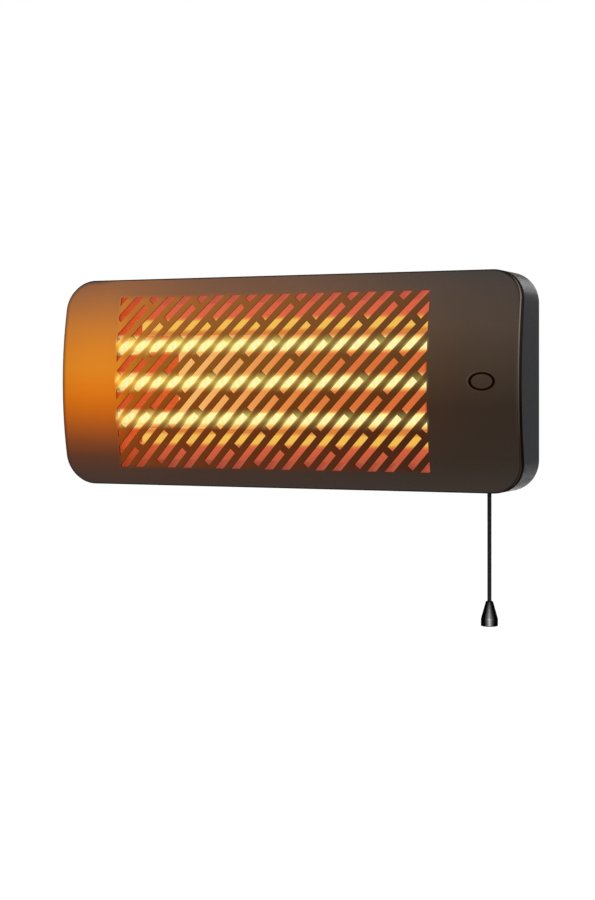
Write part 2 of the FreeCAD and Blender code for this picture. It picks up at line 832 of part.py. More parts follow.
def make_rear_housing():
    block = rounded_block("housing_block", "0", "body_corner", "0", "total_depth")

    def on_back(edge):
        return edge.BoundBox.YMax > -1e-6 and edge.BoundBox.YLength < 1e-6
    round_edges(block, "back", "back_round", on_back)
    rimmed = common("housing_rimmed", block, bow("housing_rim_bow", "rim_arc"))
    hollow = rounded_block("housing_hollow", "housing_wall", "body_corner - housing_wall",
                           "housing_wall", "2 * total_depth")
    tray = cut("housing_tray", rimmed, [hollow])
    solids, holes = housing_bosses()
    pad, pad_holes = housing_block_pad()
    ring, inlet_holes = housing_inlet()
    bush_hole = cylinder("bush_hole", "bush_neck_radius + fit_gap", "4 * housing_wall",
                         "cord_x", "-cord_depth", "-half_height - housing_wall")
    whole = fuse("housing_whole", [tray, pad, ring] + solids)
    cuts = holes + pad_holes + inlet_holes + housing_keyholes() + housing_vents() + [bush_hole]
    node(cut("rear_housing", whole, cuts))


def make_case_screws():
    length = "flange_front + weld_nut_thread - rest_gap - counterbore_depth"
    screws = [screw(f"case_screw_{number}", CASE_SCREW, length, x, "-counterbore_depth", z, "-Y")
              for number, (x, z) in enumerate(POSTS, start=1)]
    node(group("case_screws", screws))


# Reflector and heating tubes

def frustum(name, shift):
    """The tray's hollow, moved back towards the wall by a shift."""
    wedge = doc.addObject("Part::Wedge", name)
    bind(wedge, {
        "Ymin": f"-flange_front + ({shift})",
        "Ymax": f"-floor_depth + ({shift})",
        "Xmin": "-mouth_x",
        "Xmax": "mouth_x",
        "Zmin": "-mouth_z",
        "Zmax": "mouth_z",
        "X2min": "end_wall_run - mouth_x",
        "X2max": "mouth_x - end_wall_run",
        "Z2min": "-floor_height / 2",
        "Z2max": "floor_height / 2",
    })
    return wedge


def make_reflector():
    flange = rounded_block("reflector_flange", "flange_gap", "flange_corner", "flange_back", "flange_front")
    blank = fuse("reflector_blank", [flange, frustum("reflector_back", "reflector_sheet")])
    holes = [frustum("reflector_hollow", "0")]
    for level, place in LEVELS.items():
        holes.append(cylinder(f"reflector_tube_hole_{level}", "cap_radius + tube_hole_gap", "body_width",
                              "-half_width", "-tube_depth", f"{place} * tube_pitch", "+X"))
    for number, (x, z) in enumerate(POSTS, start=1):
        holes.append(cylinder(f"reflector_screw_hole_{number}", "case_screw_radius + through_gap", "total_depth",
                              x, "0", z, "-Y"))
    for side, sign in SIDES.items():
        holes.append(cylinder(f"reflector_rivet_hole_{side}", "rivet_radius + fit_gap", "floor_depth + rest_gap",
                              f"cutout_x + {sign} * rivet_reach", "0", "0", "-Y"))
    node(cut("reflector", blank, holes))


def make_tubes():
    for level, place in LEVELS.items():
        z = f"{place} * tube_pitch"
        glass = cylinder(f"glass_{level}", "tube_radius", "2 * tube_half", "-tube_half", "-tube_depth", z, "+X")
        bore = cylinder(f"glass_bore_{level}", "tube_radius - tube_wall", "2 * tube_half",
                        "-tube_half", "-tube_depth", z, "+X")
        node(cut(f"quartz_tube_{level}", glass, [bore]))


def make_coils():
    half = value("tube_half - coil_end_space")
    shape = helix_tube("heating coil", value("coil_turns"), value("coil_radius"), value("coil_wire"), -half, half)
    for level, place in LEVELS.items():
        coil = feature(f"heating_coil_{level}", shape)
        node(at(coil, "0", "-tube_depth", f"{place} * tube_pitch", "+X"))


def make_caps():
    """Ceramic end caps: a socket for the glass, a shoulder, and a neck through the bracket."""
    socket = "tube_radius + fit_gap"
    for side, sign in SIDES.items():
        caps = []
        tabs = []
        for level, place in LEVELS.items():
            z = f"{place} * tube_pitch"
            name = f"cap_{side}_{level}"

            def part(label, radius, near, far):
                limits = side_limits(sign, near, far)
                return cylinder(f"{name}_{label}", radius, f"({far}) - ({near})", limits[0], "-tube_depth", z, "+X")
            body = fuse(name + "_body", [part("shoulder", "cap_radius", "cap_inner", "bracket_x"),
                                         part("neck", "cap_neck_radius", "bracket_x", "cap_outer")])
            caps.append(cut(name, body, [part("socket", socket, "cap_inner", "tube_half")]))
            tabs.append(box(f"tab_{side}_{level}", side_limits(sign, "cap_outer", "cap_outer + tab_length"),
                            ("-tube_depth - tab_thickness / 2", "-tube_depth + tab_thickness / 2"),
                            (f"{z} - tab_width / 2", f"{z} + tab_width / 2")))
        node(group(f"ceramic_caps_{side}", caps))
        node(group(f"tube_tabs_{side}", tabs))


def make_neutral_bar():
    """The strip that joins the three left tabs from behind."""
    end = "cap_outer + tab_length"
    back = "-tube_depth + tab_thickness / 2"
    reach = "tube_pitch + tab_width / 2"
    node(box("neutral_bar", side_limits(-1, f"{end} - bar_width", end), (back, f"{back} + tab_thickness"),
             (f"-({reach})", reach)))


def make_brackets():
    for side, sign in SIDES.items():
        name = f"tube_bracket_{side}"
        tall = ("-bracket_half_height", "bracket_half_height")
        plate = box(name + "_plate", side_limits(sign, "bracket_x", "bracket_x + bracket_sheet"),
                    ("-bracket_front", "-bracket_base"), tall)
        foot = box(name + "_foot", side_limits(sign, "bracket_x", "bracket_x + bracket_foot"),
                   ("-bracket_base - bracket_sheet", "-bracket_base"), tall)
        holes = [cylinder(f"{name}_hole_{level}", "cap_neck_radius + fit_gap", "half_width",
                          "0" if sign > 0 else "-half_width", "-tube_depth", f"{place} * tube_pitch", "+X")
                 for level, place in LEVELS.items()]
        holes += [cylinder(f"{name}_screw_hole_{rise}", THROUGH, "total_depth", f"{sign} * bracket_screw_x", "0",
                           f"{place} * bracket_screw_rise", "-Y") for rise, place in (("low", -1), ("high", 1))]
        node(cut(name, fuse(name + "_blank", [plate, foot]), holes))
    seat = "-bracket_base - bracket_sheet"
    screws = [screw(f"bracket_screw_{number}", SMALL_SCREW, "bracket_sheet + small_thread_length", x, seat, z, "+Y")
              for number, (x, z) in enumerate(BRACKET_SCREWS, start=1)]
    node(group("bracket_screws", screws))


# Pull switch

def make_switch_case():
    x = ("case_x_low", "case_x_high")
    z = ("case_z_low", "case_z_high")
    block = box("switch_block", x, ("-case_front", "-case_back"), z)
    hollow = box("switch_hollow", ("case_x_low + case_wall", "case_x_high - case_wall"),
                 ("-case_front", "-case_back - case_wall"), ("case_floor", "case_z_high - case_wall"))
    holes = [hollow]
    holes.append(cylinder("switch_cord_hole", "bush_bore", "4 * case_wall", "cord_x", "-cord_depth",
                          "case_z_low - case_wall"))
    holes.append(cylinder("switch_shaft_hole", "shaft_radius + fit_gap", "case_wall",
                          "pivot_x", "-case_back - case_wall + shaft_seat", "pivot_z", "-Y"))
    holes += [cylinder(f"switch_screw_hole_{number}", THROUGH, "case_front", px, "0", pz, "-Y")
              for number, (px, pz) in enumerate(SWITCH_SCREWS, start=1)]
    holes += [switch_tab(f"switch_tab_slot_{label}", where, "fit_gap") for label, where in SWITCH_TABS.items()]
    node(cut("switch_case", block, holes))
    plate = box("switch_lid_plate", x, ("-case_front - case_wall", "-case_front"), z)
    shaft_hole = cylinder("switch_lid_hole", "shaft_radius + fit_gap", "shaft_seat",
                          "pivot_x", "-case_front", "pivot_z", "-Y")
    node(cut("switch_lid", plate, [shaft_hole]))
    screws = [screw(f"switch_screw_{number}", SMALL_SCREW, "case_wall + small_thread_length",
                    px, "-case_back - case_wall", pz, "+Y") for number, (px, pz) in enumerate(SWITCH_SCREWS, start=1)]
    node(group("switch_screws", screws))


SWITCH_TABS = {"supply": (-1, 0), "bottom": (1, 0), "middle": (1, 1), "top": (1, 2)}


def switch_tab_z(step):
    return f"pivot_z + switch_tab_first - {step} * switch_tab_step"


def switch_tab(name, where, gap):
    """A flat contact tab through a side wall of the switch case, wider all round by a gap."""
    side, step = where
    inner = f"case_wall + rest_gap + ({gap})"
    outer = f"switch_tab_reach + ({gap})"
    wide = f"switch_tab_width / 2 + ({gap})"
    high = f"tab_thickness / 2 + ({gap})"
    x = (f"case_x_high - ({inner})", f"case_x_high + {outer}")
    if side < 0:
        x = (f"case_x_low - ({outer})", f"case_x_low + {inner}")
    z = switch_tab_z(step)
    return box(name, x, (f"-switch_tab_y - ({wide})", f"-switch_tab_y + {wide}"), (f"{z} - ({high})", f"{z} + {high}"))


def make_switch_inside():
    node(group("switch_tabs", [switch_tab(f"switch_tab_{label}", where, "0")
                               for label, where in SWITCH_TABS.items()]))
    node(cylinder("switch_shaft", "shaft_radius", "case_depth - case_wall + 2 * shaft_seat - fit_gap",
                  "pivot_x", "-case_back - case_wall + shaft_seat", "pivot_z", "-Y"))
    make_lever()
    make_rotor()
    make_spring()


def make_lever():
    """The forked lever, built level and tilted up about the shaft to its rest position."""
    half = "lever_thickness / 2"
    arm = box("lever_arm_bar", ("0", "lever_reach"), ("-lever_front", "-lever_back"), (f"-{half}", half))
    hub_front = "case_front - rest_gap"
    hub = cylinder("lever_hub", "hub_radius", f"{hub_front} - lever_back", "0", "-lever_back", "0", "-Y")
    peg = cylinder("lever_peg", "drive_peg_radius", "drive_peg_length + lever_width / 2",
                   "0", "-cord_depth", "drive_peg_arm", "+Y")
    fork = box("lever_fork_slot", ("lever_arm - fork_slot / 2 - cord_radius / 2", "2 * lever_reach"),
               ("-cord_depth - fork_slot / 2", "-cord_depth + fork_slot / 2"), ("-lever_thickness", "lever_thickness"))
    bore = cylinder("lever_bore", "shaft_radius + running_gap", "2 * case_front", "0", "0", "0", "-Y")
    lever = cut("switch_lever", fuse("lever_blank", [arm, hub, peg]), [fork, bore])
    tilt_about_shaft(lever)
    node(lever)


def tilt_about_shaft(thing):
    """Set a piece made about the Y axis on the switch shaft, turned up by the rest tilt."""
    thing.Placement = FreeCAD.Placement(Vector(), Rotation(Vector(0, -1, 0), value("lever_tilt")))
    bind(thing, {"Placement.Base.x": "pivot_x", "Placement.Base.z": "pivot_z",
                 "Placement.Rotation.Angle": "lever_tilt"})


def make_rotor():
    """The ratchet wheel beside the lever, with saw teeth and a hole for the lever's peg."""
    steps = int(value("rotor_steps"))
    outer = value("rotor_radius")
    inner = value("rotor_radius - rotor_tooth")
    points = []
    for step in range(steps):
        angle = 2 * math.pi * step / steps
        for radius in (outer, inner):
            points.append(Vector(radius * math.cos(angle), -value("rotor_back"), radius * math.sin(angle)))
    face = Part.Face(Part.makePolygon(points + points[:1]))
    wheel = feature("rotor_wheel", face.extrude(Vector(0, value("rotor_back - rotor_front"), 0)))
    bore = cylinder("rotor_bore", "shaft_radius + running_gap", "2 * case_front", "0", "0", "0", "-Y")
    peg_hole = cylinder("rotor_peg_hole", "drive_peg_radius + rest_gap", "2 * case_front", "0", "0",
                        "drive_peg_arm", "-Y")
    rotor = cut("switch_rotor", wheel, [bore, peg_hole])
    tilt_about_shaft(rotor)
    node(rotor)


def make_spring():
    low = value("case_floor + spring_wire + rest_gap")
    high = value("spring_top - spring_wire")
    shape = helix_tube("return spring", value("spring_turns"), value("spring_radius"), value("spring_wire"), low, high)
    spring = feature("return_spring", shape)
    node(at(spring, "cord_x", "-cord_depth", "0"))


# Pull cord

def make_cord():
    place = ("cord_x", "-cord_depth")
    knot = sphere("upper_knot", "knot_radius", *place, "knot_z")
    upper_end = "swing_z + cord_radius + fit_gap"
    upper = cylinder("upper_cord", "cord_radius", f"knot_z - ({upper_end})", *place, upper_end)
    node(fuse("pull_cord_upper", [knot, upper]))
    top = sphere("hanging_cord_top", "cord_radius", *place, "swing_z")
    run = cylinder("hanging_cord_run", "cord_radius", "swing_z - end_knot_z", *place, "end_knot_z")
    end = sphere("hanging_cord_knot", "end_knot_radius", *place, "end_knot_z")
    node(fuse("pull_cord", [top, run, end]))


def make_bell():
    corners = [
        ("bell_hole", "bell_height"),
        ("bell_top_radius", "bell_height"),
        ("bell_radius", "bell_skirt"),
        ("bell_radius", "0"),
        ("bell_cavity_radius", "0"),
        ("bell_cavity_radius", "bell_cavity"),
        ("bell_hole", "bell_cavity"),
    ]
    bell = turned_body("cord_bell", corners, "0", "0", "0")
    round_edges(bell, "top", "bell_top_round", circle_at("bell_top_radius", "bell_height"))
    round_edges(bell, "shoulder", "bell_shoulder_round", circle_at("bell_radius", "bell_skirt"))
    round_edges(bell, "base", "bell_edge_round", circle_at("bell_radius", "0"))
    node(at(bell, "cord_x", "-cord_depth", "bell_bottom"))


def make_bush():
    """The snap-in guide in the bottom wall that the cord runs through."""
    wall = "housing_wall"
    corners = [
        ("bush_bore", "-bush_collar"),
        ("bush_collar_radius", "-bush_collar"),
        ("bush_collar_radius", "0"),
        ("bush_neck_radius", "0"),
        ("bush_neck_radius", wall),
        ("bush_lip_radius", wall),
        ("bush_neck_radius", f"{wall} + bush_lip"),
        ("bush_bore", f"{wall} + bush_lip"),
    ]
    node(turned_body("cord_bush", corners, "cord_x", "-cord_depth", "-half_height"))


# Mains inlet and wiring

def make_grommet():
    corners = [
        ("grommet_bore_radius", "inlet_recess - grommet_flange"),
        ("grommet_radius", "inlet_recess - grommet_flange"),
        ("grommet_radius", "inlet_recess"),
        ("grommet_neck_radius", "inlet_recess"),
        ("grommet_neck_radius", "inlet_inner"),
        ("grommet_radius", "inlet_inner"),
        ("grommet_neck_radius", "inlet_inner + grommet_flange"),
        ("grommet_bore_radius", "inlet_inner + grommet_flange"),
    ]
    node(turned_body("inlet_grommet", corners, "inlet_x", "0", "inlet_z", "-Y"))


def make_clamp():
    reach = "clamp_span / 2 + boss_radius"
    bar = box("clamp_blank", ("clamp_x - clamp_width / 2", "clamp_x + clamp_width / 2"),
              ("-clamp_seat - clamp_thickness", "-clamp_seat"), (f"inlet_z - ({reach})", f"inlet_z + {reach}"))
    holes = [cylinder(f"clamp_hole_{number}", THROUGH, "total_depth", x, "0", z, "-Y")
             for number, (x, z) in enumerate(CLAMP_SCREWS, start=1)]
    node(cut("cable_clamp", bar, holes))
    screws = [screw(f"clamp_screw_{number}", SMALL_SCREW, "clamp_thickness + small_thread_length",
                    x, "-clamp_seat - clamp_thickness", z, "+Y")
              for number, (x, z) in enumerate(CLAMP_SCREWS, start=1)]
    node(group("clamp_screws", screws))


def make_terminal_block():
    half = "block_length / 2"
    tall = "block_height / 2"
    body = box("block_body", (f"block_x - {half}", f"block_x + {half}"), ("-block_front", "-pad_front"),
               (f"inlet_z - {tall}", f"inlet_z + {tall}"))
    holes = []
    screws = []
    for pole in (-1, 0, 1):
        x = f"block_x + {pole} * block_pole_pitch"
        holes.append(cylinder(f"block_entry_{pole + 2}", "block_entry_radius", "2 * block_height",
                              x, "-block_wire_y", "inlet_z - block_height"))
        for row in (-1, 1):
            name = f"block_screw_{pole + 2}_{row + 2}"
            z = f"inlet_z + {row} * block_screw_spread / 2"
            holes.append(cylinder(name + "_well", "block_screw_radius + fit_gap", "block_thickness / 2",
                                  x, "-block_wire_y", z, "-Y"))
            start = "-block_wire_y - block_entry_radius"
            blank = cylinder(name + "_blank", "block_screw_radius",
                             "block_thickness / 2 - block_entry_radius - rest_gap", x, start, z, "-Y")
            slot = box(name + "_slot", (f"{x} - recess_width / 2", f"{x} + recess_width / 2"),
                       ("-block_front + rest_gap - recess_width", "-block_front + rest_gap + recess_depth"),
                       (f"{z} - 2 * block_screw_radius", f"{z} + 2 * block_screw_radius"))
            screws.append(cut(name, blank, [slot]))
    fixings = []
    for number, (x, z) in enumerate(BLOCK_SCREWS, start=1):
        holes.append(cylinder(f"block_fixing_hole_{number}", THROUGH, "2 * block_front", x, "0", z, "-Y"))
        seat = "-pad_front - small_thread_length"
        holes.append(cylinder(f"block_fixing_well_{number}", "small_head_radius + fit_gap", "block_thickness",
                              x, seat, z, "-Y"))
        fixings.append(screw(f"block_fixing_{number}", SMALL_SCREW, "2 * small_thread_length", x, seat, z, "+Y"))
    node(cut("terminal_block", body, holes))
    node(group("terminal_screws", screws))
    node(group("block_screws", fixings))


def make_cutout():
    """The disc thermostat on the back of the reflector floor, held by two rivets."""
    half = "cutout_plate_length / 2"
    plate = box("cutout_plate_blank", (f"cutout_x - {half}", f"cutout_x + {half}"), ("-floor_back", "-cutout_seat"),
                ("-cutout_plate_width / 2", "cutout_plate_width / 2"))
    disc = cylinder("cutout_disc", "cutout_radius", "cutout_height", "cutout_x", "-cutout_seat", "0", "+Y")
    tabs = [box(f"cutout_tab_{side}",
                (f"cutout_x + {'-cutout_radius - cutout_tab_length' if sign < 0 else '0'}",
                 f"cutout_x + {'0' if sign < 0 else 'cutout_radius + cutout_tab_length'}"),
                ("-cutout_tab_y - tab_thickness / 2", "-cutout_tab_y + tab_thickness / 2"),
                ("-switch_tab_width / 2", "switch_tab_width / 2")) for side, sign in SIDES.items()]
    holes = []
    rivets = []
    for side, sign in SIDES.items():
        x = f"cutout_x + {sign} * rivet_reach"
        holes.append(cylinder(f"cutout_rivet_hole_{side}", "rivet_radius + fit_gap", "floor_depth", x, "0", "0", "-Y"))
        back = cylinder(f"rivet_back_{side}", "rivet_head_radius", "rivet_head", x, "-cutout_seat", "0", "+Y")
        shank = cylinder(f"rivet_shank_{side}", "rivet_radius", "cutout_plate + reflector_sheet",
                         x, "-cutout_seat", "0", "-Y")
        front = cylinder(f"rivet_front_{side}", "rivet_head_radius", "rivet_head", x, "-floor_depth", "0", "-Y")
        rivets.append(fuse(f"cutout_rivet_{side}", [back, shank, front]))
    node(cut("thermal_cutout", fuse("cutout_blank", [plate, disc] + tabs), holes))
    node(group("cutout_rivets", rivets))


def make_earth():
    """The earth stud welded to the reflector floor, with its tag and nut."""
    node(cylinder("earth_stud", "earth_stud_radius", "earth_stud_length", "earth_x", "-floor_back", "0", "+Y"))
    hole = "earth_stud_radius + fit_gap"
    disc = cylinder("earth_tag_disc", "earth_tag_radius", "tab_thickness", "earth_x", "-floor_back", "0", "+Y")
    tail = box("earth_tag_tail", ("earth_x - switch_tab_width / 2", "earth_x + switch_tab_width / 2"),
               ("-floor_back", "-floor_back + tab_thickness"), ("-earth_tag_reach", "0"))
    bore = cylinder("earth_tag_bore", hole, "floor_back", "earth_x", "-floor_back", "0", "+Y")
    node(cut("earth_tag", fuse("earth_tag_blank", [disc, tail]), [bore]))
    prism = doc.addObject("Part::Prism", "earth_nut_blank")
    prism.Polygon = 6
    bind(prism, {"Circumradius": "earth_nut_width / sqrt(3)", "Height": "earth_nut_height"})
    at(prism, "earth_x", "-floor_back + tab_thickness", "0", "+Y")
    nut_bore = cylinder("earth_nut_bore", hole, "floor_back", "earth_x", "-floor_back", "0", "+Y")
    node(cut("earth_nut", prism, [nut_bore]))


def make_leads():
    """Insulated leads: three from tubes to switch, two supply leads, the return and the earth."""
    gap = value("fit_gap")
    radius = value("lead_radius")
    end_x = value("cap_outer + tab_length - bar_width / 2")
    tab_back = -value("tube_depth - tab_thickness / 2") + gap
    outer_x = value("half_width - housing_wall - lead_side_gap")
    tab_y = -value("switch_tab_y")
    tab_end = value("case_x_high + switch_tab_reach") + gap
    tube_leads = []
    for rank, (level, place) in enumerate(LEVELS.items()):
        z = place * value("tube_pitch")
        run_y = tab_y - value("lead_step") * (len(LEVELS) - rank)
        low = value(switch_tab_z(SWITCH_TABS[level][1]))
        tube_leads.append(feature(f"tube_lead_{level}", lead([
            Vector(end_x, tab_back, z),
            Vector(end_x, run_y, z),
            Vector(outer_x, run_y, z - value("lead_step")),
            Vector(outer_x, run_y, low),
            Vector((tab_end + outer_x) / 2, tab_y, low),
            Vector(tab_end, tab_y, low),
        ])))
    node(group("tube_leads", tube_leads))

    block_y = -value("block_wire_y")
    block_in = value("block_top - lead_entry")
    block_out = value("block_top + 2 * lead_entry")
    live_x = value("block_x + block_pole_pitch")
    return_x = value("block_x - block_pole_pitch")
    supply_z = value(switch_tab_z(0))
    live = feature("live_lead", lead([
        Vector(live_x, block_y, block_in),
        Vector(live_x, block_y, supply_z),
        Vector((live_x + value("case_x_low")) / 2, tab_y, supply_z),
        Vector(value("case_x_low - switch_tab_reach") - gap, tab_y, supply_z),
    ]))
    cutout_y = -value("cutout_tab_y")
    cutout_end = value("cutout_radius + cutout_tab_length") + gap
    cutout_x = value("cutout_x")
    turn_x = cutout_x + cutout_end + value("lead_bend") * 2
    neutral = feature("neutral_lead", lead([
        Vector(return_x, block_y, block_in),
        Vector(return_x, block_y, block_out),
        Vector(return_x, cutout_y, -value("floor_height / 2")),
        Vector(turn_x, cutout_y, 0),
        Vector(cutout_x + cutout_end, cutout_y, 0),
    ]))
    node(group("supply_leads", [live, neutral]))

    back_y = -value("housing_wall + lead_back_gap")
    bar_x = -end_x
    bar_back = -value("tube_depth - 1.5 * tab_thickness") + gap
    node(feature("return_lead", lead([
        Vector(cutout_x - cutout_end, cutout_y, 0),
        Vector(cutout_x - 2 * cutout_end, cutout_y, 0),
        Vector(cutout_x - 4 * cutout_end, back_y, 0),
        Vector(bar_x, back_y, 0),
        Vector(bar_x, bar_back, 0),
    ])))

    earth_x = value("earth_x")
    tag_end = -value("earth_tag_reach") - gap
    tag_y = -value("floor_back - tab_thickness") + radius
    node(feature("earth_lead", lead([
        Vector(value("block_x"), block_y, block_in),
        Vector(value("block_x"), block_y, block_out),
        Vector(value("block_x"), tag_y, -value("floor_height / 2")),
        Vector(earth_x, tag_y, 2 * tag_end),
        Vector(earth_x, tag_y, tag_end),
    ])))


# Build, check and write

def build():
    make_rear_housing()
    make_front_cover()
    make_badge()
    make_weld_nuts()
    make_gasket()
    make_case_screws()
    make_reflector()
    make_tubes()
    make_coils()
    make_caps()
    make_neutral_bar()
    make_brackets()
    make_switch_case()
    make_switch_inside()
    make_cord()
    make_bell()
    make_bush()
    make_grommet()
    make_clamp()
    make_terminal_block()
    make_cutout()
    make_earth()
    make_leads()
    doc.recompute()


def check():
    for thing in doc.Objects:
        if {"Invalid", "Error"} & set(thing.State):
            raise RuntimeError(f"{thing.Name} failed: {thing.State}")
    for thing in nodes:
        shape = thing.Shape
        if shape.isNull() or not shape.isValid() or shape.Volume <= 0:
            raise RuntimeError(f"{thing.Label} has no sound shape")


def write():
    os.makedirs("parts", exist_ok=True)
    for thing in nodes:
        thing.Shape.exportStep(f"parts/{thing.Label}.step")
    print(f"{len(nodes)} sub-parts, pull travel {value('pull_travel'):.3f} mm")


build()
check()
write()
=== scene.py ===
import json
import math

import bpy
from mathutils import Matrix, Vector

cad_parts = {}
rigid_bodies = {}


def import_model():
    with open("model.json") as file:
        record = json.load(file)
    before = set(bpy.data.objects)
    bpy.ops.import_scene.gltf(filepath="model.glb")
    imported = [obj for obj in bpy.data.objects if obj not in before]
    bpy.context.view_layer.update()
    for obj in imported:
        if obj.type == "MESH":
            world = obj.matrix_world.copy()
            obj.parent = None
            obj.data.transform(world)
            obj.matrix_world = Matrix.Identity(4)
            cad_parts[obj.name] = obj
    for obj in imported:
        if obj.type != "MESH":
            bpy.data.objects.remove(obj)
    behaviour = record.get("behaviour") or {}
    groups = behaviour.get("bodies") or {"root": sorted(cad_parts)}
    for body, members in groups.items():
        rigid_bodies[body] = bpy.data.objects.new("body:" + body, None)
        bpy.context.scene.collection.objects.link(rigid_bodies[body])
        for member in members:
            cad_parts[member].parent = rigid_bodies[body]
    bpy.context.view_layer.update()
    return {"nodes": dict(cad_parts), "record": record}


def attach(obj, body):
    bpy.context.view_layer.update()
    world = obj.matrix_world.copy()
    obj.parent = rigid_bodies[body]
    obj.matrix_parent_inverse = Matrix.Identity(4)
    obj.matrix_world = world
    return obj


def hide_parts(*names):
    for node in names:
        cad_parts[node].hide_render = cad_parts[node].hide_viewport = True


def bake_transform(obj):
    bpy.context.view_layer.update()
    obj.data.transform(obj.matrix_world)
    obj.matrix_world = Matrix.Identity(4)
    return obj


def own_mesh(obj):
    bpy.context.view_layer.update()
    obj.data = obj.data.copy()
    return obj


# Looks of a lit quartz tube heater. Metres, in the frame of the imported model:
# +X to the right, +Y into the wall, +Z up, origin at the middle of the back face.

for leftover in list(bpy.data.objects):
    bpy.data.objects.remove(leftover)

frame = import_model()
nodes = frame["nodes"]
scene = bpy.context.scene


# Sizes of the CAD model that the looks follow

HALF_WIDTH = 0.262
HALF_HEIGHT = 0.1125
CORNER_RADIUS = 0.032

WINDOW_X = -0.0133
WINDOW_HALF_WIDTH = 0.176
WINDOW_HALF_HEIGHT = 0.089
SLOT_SLANT = math.radians(46.4)
SLOT_PITCH = 0.01407
SLOT_X = 0.03434  # where the middle of one slot crosses Z = 0

BADGE_X = 0.224
GROOVE_HALF_WIDTH = 0.0125  # to the middle of the groove round the badge
GROOVE_HALF_HEIGHT = 0.00825

TUBE_LEVELS = (-0.0395, 0.0, 0.0395)
TRAY_FLOOR_EDGE = 0.0515  # height at which the reflector's floor bends into its walls
TRAY_BAND_END = 0.182
END_BAY_X = 0.2290  # middle of the room inside the housing beside the reflector
END_BAY_REACH = 0.0300
BACK_WALL_Y = -0.0023  # just short of the inner face of the housing's back wall

CORD_X = 0.2145
CORD_Y = -0.020
CORD_RADIUS = 0.00215
BELL_NECK_Z = -0.2250
BELL_SKIRT_Z = -0.2435

# Values of the looks that several pieces share

NOISE_RANGE = (0.3, 0.7)  # most of a noise texture lies between these
WHITE = (1.0, 1.0, 1.0, 1.0)


def srgb(red, green, blue):
    """A colour given in 0 to 255 screen values, as the linear colour that nodes take."""
    def linear(level):
        share = level / 255
        return share / 12.92 if share <= 0.04045 else ((share + 0.055) / 1.055) ** 2.4
    return linear(red), linear(green), linear(blue), 1.0


def glow(red, green, blue):
    """The colour of a glow, in linear values from 0 to 1."""
    return red, green, blue, 1.0


# Camera

def make_camera():
    """The photograph's view: level, turned to the left, with the horizon above the middle."""
    data = bpy.data.cameras.new("camera")
    data.sensor_width = 36.0
    data.lens = 69.41
    data.shift_y = -0.0679
    camera = bpy.data.objects.new("camera", data)
    camera.location = (0.7588, -1.7241, -0.0075)
    camera.rotation_euler = (math.radians(90), 0.0, math.radians(24.025))
    scene.collection.objects.link(camera)
    scene.camera = camera


# Pull cord

def nurbs_curve(name, points, radius=0.0, closed=False):
    """A smooth curve with the points as its control points, thickened to a tube by a radius."""
    data = bpy.data.curves.new(name, "CURVE")
    data.dimensions = "3D"
    data.resolution_u = 16
    data.bevel_depth = radius
    data.bevel_resolution = 5
    data.use_fill_caps = True
    spline = data.splines.new("NURBS")
    spline.points.add(len(points) - 1)
    for control, point in zip(spline.points, points):
        control.co = (*point, 1.0)
    spline.order_u = 3
    spline.use_endpoint_u = not closed
    spline.use_cyclic_u = closed
    return bpy.data.objects.new(name, data)


def mesh_of(curve, name):
    """A mesh object with the shape of a curve, which is then removed."""
    mesh = bpy.data.meshes.new_from_object(curve)
    mesh.name = name
    bpy.data.objects.remove(curve)
    for face in mesh.polygons:
        face.use_smooth = True
    piece = bpy.data.objects.new(name, mesh)
    scene.collection.objects.link(piece)
    return piece


def hanging_points(heights):
    return [(CORD_X, CORD_Y, height) for height in heights]


def knot_points(centre, size):
    """Control points of a closed overhand knot about a centre."""
    count = 24
    points = []
    for step in range(count):
        turn = 2 * math.pi * step / count
        local = Vector((
            math.sin(turn) + 2 * math.sin(2 * turn),
            math.cos(turn) - 2 * math.cos(2 * turn),
            -1.6 * math.sin(3 * turn),
        ))
        points.append(centre + local * size)
    return points


def make_knot(name, height, size, strand, body):
    centre = Vector((CORD_X, CORD_Y, height))
    knot = mesh_of(nurbs_curve(name, knot_points(centre, size), strand, closed=True), name)
    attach(knot, body)
    return knot


def make_cords():
    """The hanging cord, the stretch inside, and their knots."""
    upper_knot_z = -0.0694
    exit_z = -0.1130
    end_z = -0.2409
    route = hanging_points((exit_z, -0.1300, -0.1700, -0.2100, end_z))
    line = nurbs_curve("cord_line", route)
    line_mesh = bpy.data.meshes.new_from_object(line)
    bpy.data.objects.remove(line)
    hanging = mesh_of(nurbs_curve("hanging_cord", route, CORD_RADIUS), "hanging_cord")
    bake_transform(hanging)
    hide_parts("pull_cord")
    end_knot = make_knot("end_knot", end_z, size=0.00086, strand=0.0012, body="cord_pendant")
    inner_route = hanging_points((upper_knot_z, -0.0800, -0.0950, exit_z))
    inner = mesh_of(nurbs_curve("inner_cord", inner_route, CORD_RADIUS), "inner_cord")
    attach(inner, "cord_slider")
    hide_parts("pull_cord_upper")
    upper_knot = make_knot("upper_knot", upper_knot_z, size=0.00090, strand=0.0013,
                           body="cord_slider")
    return [hanging, end_knot, inner, upper_knot]


# Materials

